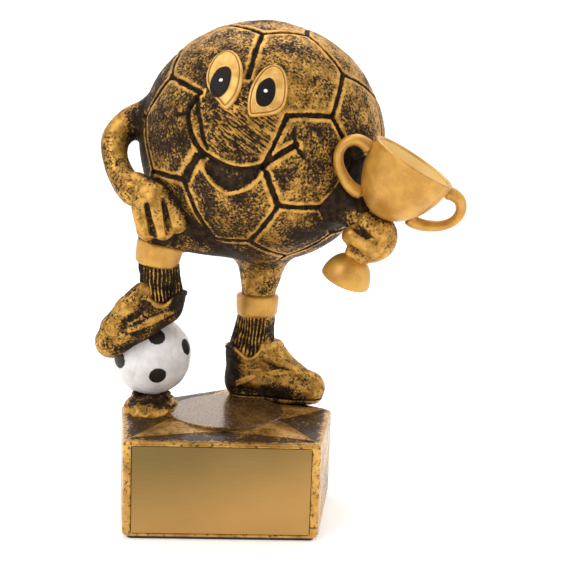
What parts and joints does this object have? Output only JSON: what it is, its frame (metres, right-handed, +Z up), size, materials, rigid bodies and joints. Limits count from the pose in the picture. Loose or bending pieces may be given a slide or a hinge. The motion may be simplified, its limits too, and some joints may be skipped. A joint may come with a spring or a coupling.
{
  "type": "figure trophy",
  "caption": "Resin award figure: a smiling football character holding a two-handled cup, one boot on a small ball, on a five-sided base with a blank name plate.",
  "frame": {"origin": "centre of the underside of the felt pad that the trophy rests on, below the middle of the five-sided base", "axes": "+X to the right and +Y to the back as the name plate is read from the front, +Z up"},
  "size_m": [0.1045, 0.0812, 0.1504],
  "materials": {
    "antique_gold_resin": "satin",
    "sock_resin": "satin",
    "satin_gold_resin": "satin",
    "base_gold_resin": "gloss",
    "white_painted_resin": "satin",
    "brushed_plate": "satin",
    "steel_armature": "satin",
    "adhesive_film": "matte",
    "dark_felt": "matte"
  },
  "bodies": {
    "root": {"ball_body": "antique_gold_resin", "hip_arm": "antique_gold_resin", "hip_hand": "antique_gold_resin", "cup_arm": "antique_gold_resin", "cup_hand": "antique_gold_resin", "standing_thigh": "antique_gold_resin", "raised_thigh": "antique_gold_resin", "standing_boot": "antique_gold_resin", "raised_boot": "antique_gold_resin", "turf_mound": "antique_gold_resin", "standing_sock": "sock_resin", "raised_sock": "sock_resin", "left_eye": "satin_gold_resin", "right_eye": "satin_gold_resin", "standing_sock_cuff": "satin_gold_resin", "raised_sock_cuff": "satin_gold_resin", "cup_bowl": "satin_gold_resin", "cup_handle_left": "satin_gold_resin", "cup_handle_right": "satin_gold_resin", "cup_stem": "satin_gold_resin", "cup_foot": "satin_gold_resin", "base_block": "base_gold_resin", "star_relief": "base_gold_resin", "centre_disc": "base_gold_resin", "small_ball": "white_painted_resin", "name_plate": "brushed_plate", "leg_rod": "steel_armature", "small_ball_pin": "steel_armature", "raised_leg_pin": "steel_armature", "hip_arm_wire": "steel_armature", "cup_arm_wire": "steel_armature", "plate_adhesive": "adhesive_film", "felt_pad": "dark_felt"}
  },
  "joints": []
}
